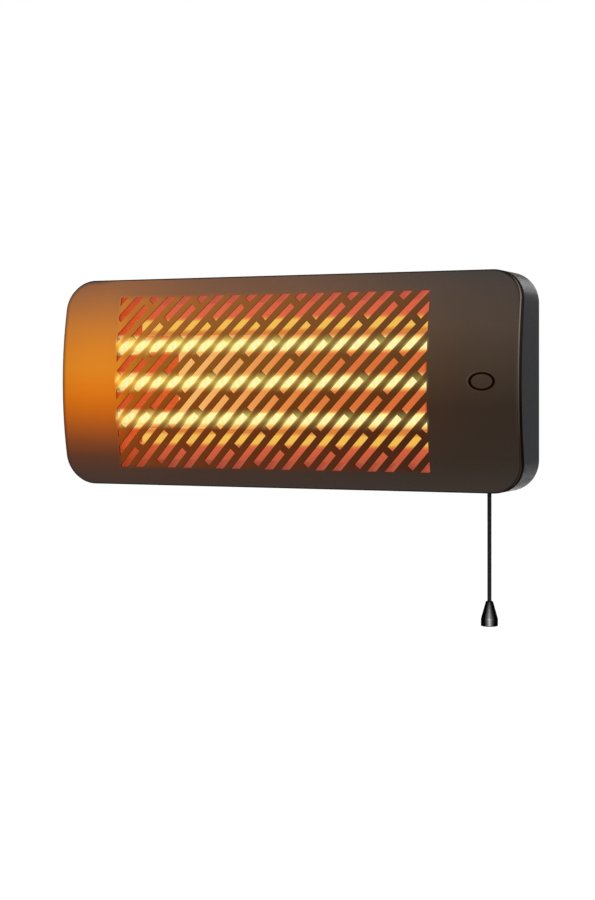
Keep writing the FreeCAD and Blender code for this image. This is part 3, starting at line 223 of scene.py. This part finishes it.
class Finish:
    """A material with short ways to add nodes; sockets and plain numbers mix freely.

    Its settings are the shader's sockets, in small letters with underscores.
    """

    def __init__(self, name, **settings):
        self.material = bpy.data.materials.new(name)
        self.material.use_nodes = True
        self.tree = self.material.node_tree
        self.shader = self.tree.nodes["Principled BSDF"]
        self.coordinates = self.node("ShaderNodeTexCoord")
        self.split = {}
        for socket, value in settings.items():
            self.set(socket.replace("_", " ").title().replace("Ior", "IOR"), value)

    def feed(self, socket, value):
        if isinstance(value, bpy.types.NodeSocket):
            self.tree.links.new(value, socket)
        else:
            socket.default_value = value

    def set(self, socket, value):
        self.feed(self.shader.inputs[socket], value)

    def node(self, kind, inputs=None, **properties):
        made = self.tree.nodes.new(kind)
        for name, value in properties.items():
            setattr(made, name, value)
        for socket, value in (inputs or {}).items():
            self.feed(made.inputs[socket], value)
        return made

    def along(self, kind, axis):
        """One axis of a texture coordinate, from a node that is made once."""
        if kind not in self.split:
            vector = self.coordinates.outputs[kind]
            self.split[kind] = self.node("ShaderNodeSeparateXYZ", {"Vector": vector})
        return self.split[kind].outputs[axis]

    def place(self, axis):
        """The object-space coordinate along an axis, in metres."""
        return self.along("Object", axis)

    def facing(self, axis):
        """How far the surface faces along an axis, from -1 to 1."""
        return self.along("Normal", axis)

    def math(self, operation, first, second=0.0):
        inputs = {0: first, 1: second}
        return self.node("ShaderNodeMath", inputs, operation=operation).outputs[0]

    def chain(self, operation, values):
        """One operation over all the values, in their order."""
        result, *others = values
        for value in others:
            result = self.math(operation, result, value)
        return result

    def times(self, *values):
        return self.chain("MULTIPLY", values)

    def plus(self, *values):
        return self.chain("ADD", values)

    def most(self, *values):
        return self.chain("MAXIMUM", values)

    def minus(self, first, second):
        return self.math("SUBTRACT", first, second)

    def size(self, value):
        return self.math("ABSOLUTE", value)

    def distance(self, first, second):
        """How far a point lies from the origin, from its two coordinates."""
        squares = [self.math("POWER", value, 2.0) for value in (first, second)]
        return self.math("SQRT", self.plus(*squares))

    def span(self, value, low, high, start=0.0, end=1.0):
        """A value mapped from one range to another and kept inside it."""
        inputs = {"Value": value, "From Min": low, "From Max": high, "To Min": start, "To Max": end}
        return self.node("ShaderNodeMapRange", inputs).outputs["Result"]

    def near(self, value, middle, reach, soft):
        """1 within a reach of the middle of a value, falling to 0 over a soft edge."""
        return self.span(self.size(self.minus(value, middle)), reach + soft, reach)

    def noise(self, size, detail=3.0, stretch=(1.0, 1.0, 1.0)):
        """Noise from 0 to 1 with features of a size in metres, stretched along the axes."""
        mapping = self.node("ShaderNodeMapping", {
            "Vector": self.coordinates.outputs["Object"],
            "Scale": tuple(1 / (size * factor) for factor in stretch),
        })
        inputs = {"Vector": mapping.outputs["Vector"], "Scale": 1.0, "Detail": detail}
        return self.node("ShaderNodeTexNoise", inputs).outputs["Fac"]

    def uneven(self, low, high, size, **options):
        """A value that wanders between two limits over patches of a size."""
        return self.span(self.noise(size, **options), *NOISE_RANGE, low, high)

    def ramp(self, value, stops):
        made = self.node("ShaderNodeValToRGB", {"Fac": value})
        elements = made.color_ramp.elements
        while len(elements) < len(stops):
            elements.new(0.5)
        for element, (position, colour) in zip(elements, stops):
            element.position = position
            element.color = colour
        return made.outputs["Color"]

    def level(self, value, stops):
        """A ramp of plain numbers."""
        colours = [(position, (number, number, number, 1.0)) for position, number in stops]
        return self.ramp(value, colours)

    def mix(self, share, first, second, blend="MIX"):
        """Two colours mixed; the node's sockets are given by their places in it."""
        inputs = {0: share, 6: first, 7: second}
        return self.node("ShaderNodeMix", inputs, data_type="RGBA", blend_type=blend).outputs[2]

    def tint(self, colour, strength):
        """A colour times a strength."""
        return self.mix(1.0, colour, strength, blend="MULTIPLY")

    def bump(self, height, distance):
        inputs = {"Height": height, "Distance": distance, "Strength": 1.0}
        self.set("Normal", self.node("ShaderNodeBump", inputs).outputs["Normal"])


def mottled(finish, colour, spread, size):
    """Base colour that drifts a little darker and lighter over patches of a size."""
    def scaled(factor):
        return tuple(level * factor for level in colour[:3]) + (1.0,)
    finish.set("Base Color", finish.mix(finish.noise(size), scaled(1 - spread), scaled(1 + spread)))


def moulded(name, colour, roughness, specular=0.3):
    """Moulded plastic, rubber or ceramic with a fine surface grain."""
    finish = Finish(name, specular_ior_level=specular)
    mottled(finish, colour, spread=0.12, size=0.02)
    finish.set("Roughness", finish.uneven(roughness - 0.05, roughness + 0.05, size=0.004))
    finish.bump(finish.noise(0.0006, detail=1.0), 0.00004)
    return finish.material


def metal(name, colour, roughness):
    """Bare metal whose polish varies in fine patches."""
    finish = Finish(name, metallic=1.0)
    mottled(finish, colour, spread=0.08, size=0.006)
    patches = finish.noise(0.0008)
    finish.set("Roughness", finish.span(patches, *NOISE_RANGE, roughness - 0.07, roughness + 0.07))
    finish.bump(patches, 0.00001)
    return finish.material


def tube_lines(finish, reach, soft, stretch=1.0):
    """1 within a reach of the level of each tube, falling to 0 over a soft edge."""
    falloff = 1.6
    height = finish.place("Z")
    lines = [finish.near(height, level * stretch, reach, soft) for level in TUBE_LEVELS]
    return finish.math("POWER", finish.most(*lines), falloff)


def slot_edges(finish):
    """1 at the long edges of the slanted slots, falling off towards the middle of the bars."""
    half_pitch = SLOT_PITCH / 2
    sideways = finish.minus(finish.place("X"), SLOT_X)
    across = finish.times(sideways, math.sin(SLOT_SLANT) / half_pitch)
    rise = finish.times(finish.place("Z"), math.cos(SLOT_SLANT) / half_pitch)
    from_slot = finish.math("PINGPONG", finish.minus(across, rise), 1.0)
    return finish.level(from_slot, [(0.51, 1.00), (0.62, 0.70), (0.74, 0.34), (1.00, 0.28)])


def rim_depth(finish):
    """How far in from the cover's outline a point lies, up to the radius of the corners."""
    past = []
    for axis, half in (("X", HALF_WIDTH), ("Z", HALF_HEIGHT)):
        beyond = finish.minus(finish.size(finish.place(axis)), half - CORNER_RADIUS)
        past.append(finish.most(beyond, 0.0))
    return finish.minus(CORNER_RADIUS, finish.distance(*past))


def badge_ring(finish):
    """How far out a point lies from the badge's middle: 1 along the middle of its oval groove."""
    sideways = finish.math("DIVIDE", finish.minus(finish.place("X"), BADGE_X), GROOVE_HALF_WIDTH)
    upright = finish.math("DIVIDE", finish.place("Z"), GROOVE_HALF_HEIGHT)
    return finish.distance(sideways, upright)


def cover_window(finish):
    """1 over the slotted window of the cover, falling to 0 just outside it."""
    soft = 0.006
    return finish.times(finish.near(finish.place("X"), WINDOW_X, WINDOW_HALF_WIDTH, soft),
                        finish.near(finish.place("Z"), 0.0, WINDOW_HALF_HEIGHT, soft))


def cover_wide_light(finish, across, up, window):
    """The weaker painted light all over the cover, which falls off differently on the window's
    bars.
    """
    wide_across = finish.level(across, [
        (0.00, 0.90), (0.10, 1.00), (0.20, 0.86), (0.30, 0.63), (0.42, 0.48),
        (0.56, 0.38), (0.66, 0.25), (0.76, 0.13), (0.90, 0.03), (1.00, 0.00),
    ])
    wide_up = finish.level(up, [
        (0.02, 0.02), (0.12, 0.05), (0.25, 0.13), (0.45, 0.24), (0.75, 0.26), (1.00, 0.22),
    ])
    bars_across = finish.level(across, [
        (0.15, 1.00), (0.30, 0.72), (0.45, 0.55), (0.60, 0.42), (0.80, 0.25),
    ])
    bars_up = finish.level(up, [
        (0.10, 0.17), (0.25, 0.21), (0.40, 0.29), (0.50, 0.35), (0.75, 0.39), (0.90, 0.45),
    ])
    return finish.mix(window, finish.times(wide_across, wide_up),
                      finish.times(bars_across, bars_up))


def cover_end_glow(finish, across, up):
    """The strong painted light on the cover's left end, beside the window."""
    glow_across = finish.level(across, [
        (0.00, 0.93), (0.06, 1.00), (0.125, 1.00), (0.16, 0.30), (0.24, 0.00),
    ])
    glow_upward = finish.level(up, [
        (0.05, 0.00), (0.14, 0.02), (0.21, 0.09), (0.29, 0.24), (0.36, 0.37), (0.44, 0.45),
        (0.54, 0.48), (0.65, 0.42), (0.76, 0.29), (0.86, 0.14), (0.96, 0.02),
    ])
    return finish.times(glow_across, glow_upward)


def light_cover(finish, across, up, window, end_glow, front):
    """Painted orange light over the cover as a glow, painted yellow light along the slots at the
    tubes, and painted shade as a darker left rim.
    """
    orange = finish.ramp(up, [
        (0.25, glow(1.0, 0.19, 0.00)), (0.44, glow(1.0, 0.24, 0.00)),
        (0.58, glow(1.0, 0.31, 0.01)), (1.00, glow(1.0, 0.29, 0.02)),
    ])
    wide = cover_wide_light(finish, across, up, window)
    ambient = finish.tint(orange, finish.plus(wide, end_glow))
    fringe = finish.times(tube_lines(finish, 0.001, 0.011), window, finish.level(across, [
        (0.13, 1.00), (0.30, 0.92), (0.45, 0.68), (0.62, 0.36), (0.80, 0.22),
    ]))
    spread = finish.times(slot_edges(finish), finish.span(up, 0.32, 0.68, 1.05, 1.15))
    yellow = finish.tint(glow(0.96, 0.97, 0.25), finish.times(fringe, spread))
    finish.set("Emission Color", finish.mix(1.0, ambient, yellow, blend="ADD"))
    # Painted light from the tubes on the slot walls at their levels.
    slot_walls = finish.times(window, tube_lines(finish, 0.004, 0.005))
    # Painted shade: less glow along the rounded left rim.
    dim_rim = finish.times(finish.span(finish.place("X"), -0.200, -0.225),
                           finish.span(rim_depth(finish), 0.0056, 0.0026, 0.0, 0.58))
    strength = finish.minus(finish.most(front, slot_walls), dim_rim)
    finish.set("Emission Strength", finish.most(strength, 0.0))


def cover_paint():
    """Satin bronze paint with painted light and shade: an orange glow from the left end and, less,
    along the slots.
    """
    finish = Finish("cover_paint")
    across = finish.span(finish.place("X"), -HALF_WIDTH, HALF_WIDTH)
    up = finish.span(finish.place("Z"), -HALF_HEIGHT, HALF_HEIGHT)
    window = cover_window(finish)
    end_glow = cover_end_glow(finish, across, up)
    # Where the painted glow lies: over the window and the lit left end.
    glow_zone = finish.most(window, finish.span(end_glow, 0.0, 0.40))
    front = finish.span(finish.facing("Y"), -0.70, -0.93)
    ring = badge_ring(finish)
    groove = finish.near(ring, 1.0, 0.10, 0.04)

    # Painted light and shade: the bronze is lightest in its upper part and darkest and browner
    # below the middle, as the light falls on it.
    paint = finish.ramp(up, [
        (0.00, srgb(49, 39, 33)),
        (0.15, srgb(38, 25, 11)),
        (0.38, srgb(36, 21, 5)),
        (0.55, srgb(54, 40, 26)),
        (0.75, srgb(68, 53, 40)),
        (0.92, srgb(60, 48, 39)),
        (1.00, srgb(46, 42, 38)),
    ])
    flecks = finish.uneven(0.92, 1.08, size=0.0012, detail=4.0)
    # Painted highlight: a light crescent on the paint just outside the badge's groove, at its left.
    crescent_highlight = finish.times(finish.near(ring, 1.23, 0.03, 0.05),
                        finish.span(finish.place("X"), BADGE_X, BADGE_X - 0.010, 0.0, 0.9))
    # Painted shade: faces turned away from the front, the skirt and above all the slot walls, are
    # darkened, as is the paint where the painted glow lies over it, and the badge's groove is
    # painted near black.
    turned = finish.span(front, 0, 1, finish.span(window, 0, 1, 0.50, 0.06), 1.0)
    shade = finish.times(finish.span(glow_zone, 0, 1, 1.0, 0.35), turned,
                         finish.span(groove, 0, 1, 1.0, 0.06), finish.plus(crescent_highlight, 1.0))
    finish.set("Base Color", finish.tint(paint, finish.times(flecks, shade)))

    right_edge = finish.times(finish.near(finish.facing("X"), 0.78, 0.15, 0.06),
                              finish.span(finish.facing("Y"), -0.15, -0.35))
    polish = finish.times(right_edge, finish.span(finish.place("Z"), -0.07, 0.06, 0.10, 1.00))
    plain_front = finish.times(front, finish.minus(1.0, groove))
    satin = finish.times(finish.span(glow_zone, 0, 1, 0.18, 0.08), plain_front)
    finish.set("Specular IOR Level", finish.plus(satin, polish))
    finish.set("Roughness", finish.uneven(0.38, 0.46, size=0.003))
    finish.bump(finish.noise(0.0007, detail=2.0), 0.00003)

    light_cover(finish, across, up, window, end_glow, front)
    return finish.material


def reflector_metal():
    """Polished tray with the tubes' light painted on: orange-tinted metal, and a glow that is peach
    to orange on the floor, yellow and red on the walls.
    """
    finish = Finish("reflector_metal", metallic=1.0)
    # Painted light: the metal is tinted orange as though lit by the tubes.
    finish.set("Base Color", finish.mix(finish.noise(0.01), srgb(112, 64, 24), srgb(128, 76, 30)))
    finish.set("Roughness", finish.uneven(0.30, 0.42, size=0.0015, stretch=(12.0, 1.0, 1.0)))

    across = finish.span(finish.place("X"), -HALF_WIDTH, HALF_WIDTH)
    height = finish.size(finish.place("Z"))
    floor = finish.ramp(across, [
        (0.27, glow(0.80, 0.430, 0.135)), (0.46, glow(0.68, 0.225, 0.056)),
        (0.61, glow(0.60, 0.140, 0.038)), (0.73, glow(0.60, 0.125, 0.038)),
    ])
    walls = finish.ramp(finish.span(height, 0.050, 0.095), [
        (0.00, glow(0.53, 0.195, 0.042)), (0.11, glow(0.51, 0.185, 0.042)),
        (0.19, glow(0.72, 0.470, 0.085)), (0.36, glow(0.72, 0.470, 0.085)),
        (0.42, glow(0.58, 0.170, 0.052)), (0.47, glow(0.54, 0.090, 0.056)),
        (1.00, glow(0.51, 0.085, 0.055)),
    ])
    # Painted shade: the walls' upper part at the left glows a darker red.
    left_rim = finish.times(finish.math("GREATER_THAN", height, 0.069),
                            finish.span(across, 0.25, 0.12))
    walls = finish.mix(left_rim, walls, glow(0.52, 0.060, 0.015))
    colour = finish.mix(finish.math("GREATER_THAN", height, TRAY_FLOOR_EDGE), floor, walls)

    band = finish.times(finish.near(height, 0.0590, 0.0075, 0.0005),
                        finish.math("LESS_THAN", finish.size(finish.place("X")), TRAY_BAND_END))
    # Painted shade: the end walls glow a deep red, apart from the yellow band.
    end_wall = finish.math("GREATER_THAN", finish.size(finish.facing("X")), 0.25)
    red_end = finish.minus(end_wall, finish.times(end_wall, band))
    colour = finish.mix(red_end, colour, glow(0.48, 0.038, 0.012))

    # Painted pools of yellow light on the tray at the levels of the tubes.
    spread = 1.033
    pools = finish.times(tube_lines(finish, 0.0062, 0.0050, stretch=spread),
                         finish.level(across, [(0.25, 0.62), (0.45, 0.80), (0.60, 1.00)]))
    end_pools = finish.times(tube_lines(finish, 0.0080, 0.0045, stretch=spread),
                             finish.span(finish.place("X"), -0.165, -0.185))
    pools = finish.most(pools, end_pools)
    finish.set("Emission Color", finish.mix(pools, colour, glow(0.86, 0.66, 0.21)))

    # Painted shade: only faces turned towards the front glow, and weaker low down.
    bright_side = finish.math("LESS_THAN", finish.facing("Y"), -0.05)
    fade = finish.level(finish.span(finish.place("Z"), -0.095, -0.055), [
        (0.12, 0.70), (0.60, 0.84), (0.78, 1.00),
    ])
    finish.set("Emission Strength", finish.times(bright_side, fade))
    return finish.material


def housing_plastic():
    """Dark grey moulding with a fine grain, painted lighter towards the top as shade, with a
    painted glow in its end bays where the tubes' light leaks in.
    """
    finish = Finish("housing_plastic", specular_ior_level=0.006)
    # Painted shade: the grey is lighter towards the top and darker towards the bottom.
    colour = finish.ramp(finish.span(finish.place("Z"), -0.09, 0.09), [
        (0.27, srgb(39, 40, 42)),
        (0.42, srgb(41, 42, 43)),
        (0.75, srgb(43, 43, 46)),
        (0.90, srgb(46, 46, 47)),
        (0.96, srgb(50, 50, 50)),
    ])
    drift = finish.span(finish.noise(0.02), 0.0, 1.0, 0.88, 1.12)
    finish.set("Base Color", finish.tint(colour, drift))
    finish.set("Roughness", finish.uneven(0.34, 0.42, size=0.004))
    finish.bump(finish.noise(0.0006, detail=1.0), 0.00003)
    # Painted glow: the inside of the end bays glows orange, and yellow at the tubes' levels.
    sideways = finish.size(finish.place("X"))
    end_bays = finish.times(finish.near(sideways, END_BAY_X, END_BAY_REACH, 0.0005),
                            finish.near(finish.place("Z"), 0.0, 0.0700, 0.0200))
    inside = finish.math("LESS_THAN", finish.place("Y"), BACK_WALL_Y)
    tube_level_glow = tube_lines(finish, 0.0085, 0.0030, stretch=1.03)
    finish.set("Emission Color",
               finish.mix(tube_level_glow, glow(0.75, 0.12, 0.0075), glow(0.90, 0.70, 0.26)))
    finish.set("Emission Strength", finish.times(end_bays, inside))
    return finish.material


def glowing_quartz():
    """Milky quartz lit from inside, brighter twice in each turn of the coil, amber at its edges."""
    half_turn = 0.00675
    finish = Finish("glowing_quartz", roughness=0.25, specular_ior_level=0.3)
    turns = finish.math("SINE", finish.times(finish.place("X"), 2 * math.pi / half_turn))
    ripple = finish.span(turns, -1.0, 1.0)
    milk = finish.mix(finish.noise(0.004), srgb(150, 120, 70), srgb(170, 135, 80))
    finish.set("Base Color", milk)
    core = finish.mix(ripple, glow(0.92, 0.78, 0.33), glow(0.94, 0.86, 0.44))
    edge = finish.span(finish.size(finish.facing("Z")), 0.72, 1.0)
    finish.set("Emission Color", finish.mix(edge, core, glow(0.95, 0.58, 0.10)))
    finish.set("Emission Strength", 1.0)
    return finish.material


def glowing_coil():
    """Wire at orange to yellow heat."""
    finish = Finish("glowing_coil", metallic=1.0, roughness=0.5, base_color=srgb(150, 90, 60))
    heat = finish.mix(finish.noise(0.004), srgb(255, 160, 60), srgb(255, 214, 120))
    finish.set("Emission Color", heat)
    finish.set("Emission Strength", 2.0)
    return finish.material


def cord_braid():
    """A round braid: two families of strands that cross, with painted shade in the hollows between
    them.
    """
    strands = 6
    lay_length = 0.0193
    finish = Finish("cord_braid", roughness=0.7, specular_ior_level=0.02)
    around = finish.math("ARCTAN2", finish.minus(finish.place("Y"), CORD_Y),
                         finish.minus(finish.place("X"), CORD_X))
    turned = finish.times(around, strands)
    along = finish.times(finish.place("Z"), 2 * math.pi * strands / lay_length)
    left = finish.size(finish.math("SINE", finish.plus(turned, along)))
    right = finish.size(finish.math("SINE", finish.minus(turned, along)))
    weave = finish.most(left, right)
    fibres = finish.noise(0.0003)
    # Painted shade: darker in the hollows between the strands.
    shade = finish.mix(finish.times(weave, fibres), srgb(16, 16, 17), srgb(60, 60, 61))
    finish.set("Base Color", shade)
    finish.bump(finish.plus(weave, finish.times(fibres, 0.3)), 0.0003)
    return finish.material


def bell_plastic():
    """Black moulding, glossy round its skirt, duller up its neck and where it turns away."""
    finish = Finish("bell_plastic", ior=2.0)
    mottled(finish, srgb(7, 7, 8), spread=0.2, size=0.01)
    turned = finish.node("ShaderNodeLayerWeight", {"Blend": 0.5}).outputs["Facing"]
    shine = finish.level(turned, [
        (0.00, 1.00), (0.01, 0.95), (0.03, 0.62), (0.065, 0.28), (0.12, 0.08), (0.20, 0.00),
    ])
    glossy = finish.span(finish.place("Z"), BELL_NECK_Z, BELL_SKIRT_Z, 0.10, 1.0)
    finish.set("Specular IOR Level", finish.times(shine, glossy))
    finish.set("Roughness", finish.uneven(0.32, 0.38, size=0.002, detail=4.0))
    return finish.material


def earth_sleeve():
    """Green sleeve with slanted yellow stripes."""
    stripe_pitch = 0.006
    finish = Finish("earth_sleeve", roughness=0.45)
    slant = finish.plus(finish.place("X"), finish.plus(finish.place("Y"), finish.place("Z")))
    wave = finish.math("SINE", finish.times(slant, 2 * math.pi / stripe_pitch))
    stripe = finish.math("GREATER_THAN", wave, 0.0)
    finish.set("Base Color", finish.mix(stripe, srgb(40, 120, 50), srgb(222, 196, 40)))
    return finish.material


def make_finishes():
    return {
        "cover_paint": cover_paint(),
        "housing_plastic": housing_plastic(),
        "seal_rubber": moulded("seal_rubber", srgb(32, 32, 33), 0.7, specular=0.01),
        "zinc_steel": metal("zinc_steel", srgb(190, 192, 194), 0.32),
        "polished_reflector": reflector_metal(),
        "glowing_quartz": glowing_quartz(),
        "glowing_coil": glowing_coil(),
        "cap_ceramic": moulded("cap_ceramic", srgb(226, 220, 206), 0.6),
        "contact_brass": metal("contact_brass", srgb(206, 170, 98), 0.3),
        "switch_plastic": moulded("switch_plastic", srgb(224, 218, 200), 0.45),
        "cutout_body": moulded("cutout_body", srgb(70, 52, 42), 0.5),
        "guide_nylon": moulded("guide_nylon", srgb(24, 24, 25), 0.45),
        "cord_braid": cord_braid(),
        "bell_plastic": bell_plastic(),
        "lead_sleeve": moulded("lead_sleeve", srgb(214, 206, 190), 0.6),
        "earth_sleeve": earth_sleeve(),
    }


def wear(piece, material):
    piece.data.materials.clear()
    piece.data.materials.append(material)


# Return spring, copied onto the casing; on the heater it shortens when the cord is pulled

def make_spring():
    source = nodes["return_spring"]
    spring = bpy.data.objects.new("spring_coil", source.data.copy())
    scene.collection.objects.link(spring)
    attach(spring, "casing")
    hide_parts("return_spring")
    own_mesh(spring)
    return spring


# Stage and light

def seen_directly(tree):
    """1 for rays that show a surface to the camera, straight, mirrored or through glass."""
    path = tree.nodes.new("ShaderNodeLightPath")
    seen = path.outputs["Is Camera Ray"]
    for kind in ("Is Glossy Ray", "Is Transmission Ray"):
        either = tree.nodes.new("ShaderNodeMath")
        either.operation = "MAXIMUM"
        tree.links.new(seen, either.inputs[0])
        tree.links.new(path.outputs[kind], either.inputs[1])
        seen = either.outputs[0]
    return seen


def make_world():
    """White where it is seen, and a plain soft light on the object."""
    light_on_object = 0.55
    world = bpy.data.worlds.new("studio")
    world.use_nodes = True
    tree = world.node_tree
    background = tree.nodes["Background"]
    background.inputs["Color"].default_value = WHITE
    strength = tree.nodes.new("ShaderNodeMapRange")
    strength.inputs["To Min"].default_value = light_on_object
    strength.inputs["To Max"].default_value = 1.0
    tree.links.new(seen_directly(tree), strength.inputs["Value"])
    tree.links.new(strength.outputs["Result"], background.inputs["Strength"])
    scene.world = world


def make_floor():
    """A pale floor below the heater that reads as white and keeps the heater's shadow."""
    half = 6.0
    height = -0.62
    mesh = bpy.data.meshes.new("floor")
    sides = ((-half, -half), (half, -half), (half, half), (-half, half))
    mesh.from_pydata([(x, y, height) for x, y in sides], [], [(0, 1, 2, 3)])
    floor = bpy.data.objects.new("floor", mesh)
    scene.collection.objects.link(floor)
    pale = (0.8, 0.8, 0.8, 1.0)
    finish = Finish("floor", base_color=pale, roughness=0.9, specular_ior_level=0.0,
                    emission_color=WHITE)
    away = finish.distance(finish.place("X"), finish.place("Y"))
    lift = finish.span(away, 0.6, 4.0, 0.46, 0.62)
    finish.set("Emission Strength", finish.times(seen_directly(finish.tree), lift))
    mesh.materials.append(finish.material)


LAMPS = (
    # name, place, aim, size, watts
    ("key", (-0.9, -1.7, 1.5), (0.0, 0.0, 0.0), (1.2, 1.2), 13.0),
    ("front", (0.82, -1.95, 0.05), (0.2, 0.0, -0.1), (0.3, 1.15), 9.0),
    ("edge", (2.10, 0.35, 0.60), (0.25, -0.03, 0.0), (0.5, 0.7), 7.0),
    ("upper_corner", (0.45, 1.9, 0.645), (0.25, -0.03, 0.1), (0.6, 0.45), 7.2),
    ("lower_corner", (0.10, 1.9, -0.39), (0.25, -0.03, -0.1), (0.75, 0.35), 4.9),
)


def make_lamp(name, place, aim, size, watts):
    data = bpy.data.lights.new(name, "AREA")
    data.shape = "RECTANGLE"
    data.size, data.size_y = size
    data.energy = watts
    lamp = bpy.data.objects.new(name, data)
    lamp.location = place
    lamp.rotation_euler = (Vector(aim) - Vector(place)).to_track_quat("-Z", "Y").to_euler()
    scene.collection.objects.link(lamp)


def main():
    scene.view_settings.view_transform = "Standard"
    make_camera()
    cords = make_cords()
    finishes = make_finishes()
    for part in frame["record"]["subparts"]:
        wear(nodes[part["node"]], finishes[part["material_slot"]])
    for cord in cords:
        wear(cord, finishes["cord_braid"])
    wear(make_spring(), finishes["zinc_steel"])
    make_world()
    make_floor()
    for lamp in LAMPS:
        make_lamp(*lamp)


main()
